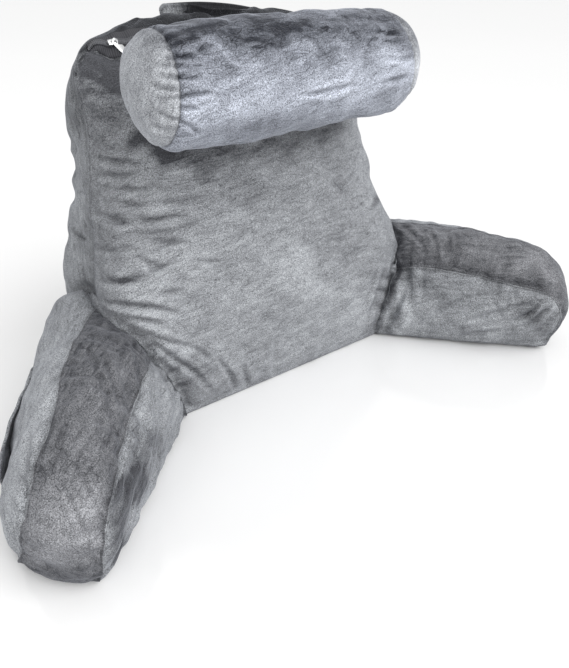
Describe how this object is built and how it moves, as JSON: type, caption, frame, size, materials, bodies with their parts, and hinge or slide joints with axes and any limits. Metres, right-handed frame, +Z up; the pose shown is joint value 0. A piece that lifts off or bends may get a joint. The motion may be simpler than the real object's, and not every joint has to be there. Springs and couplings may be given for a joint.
{
  "type": "reading pillow with arms",
  "caption": "Free-standing filled plush back cushion with two splayed arms, a neck roll, a strap loop on top, a side pocket and a zip along the top gusset.",
  "frame": {"origin": "on the floor, under the middle of the bounding box", "axes": "+X to the right arm as seen by someone facing the pillow, -Y to the front where one sits, +Z up"},
  "size_m": [0.9356, 0.4787, 0.526],
  "materials": {
    "grey_velvet_plush": "mid grey velvet plush, soft sheen",
    "silver_grey_velvet_plush": "brushed velvet plush with silvery highlights",
    "dark_grey_zip_tape": "matt woven tape",
    "polished_nickel": "bright plated metal"
  },
  "bodies": {
    "root": {"back_cushion": "grey_velvet_plush", "arm_left": "grey_velvet_plush", "arm_right": "grey_velvet_plush", "neck_roll": "silver_grey_velvet_plush", "carry_handle": "grey_velvet_plush", "side_pocket": "grey_velvet_plush", "zip_tape": "dark_grey_zip_tape", "zip_slider": "polished_nickel"}
  },
  "joints": []
}
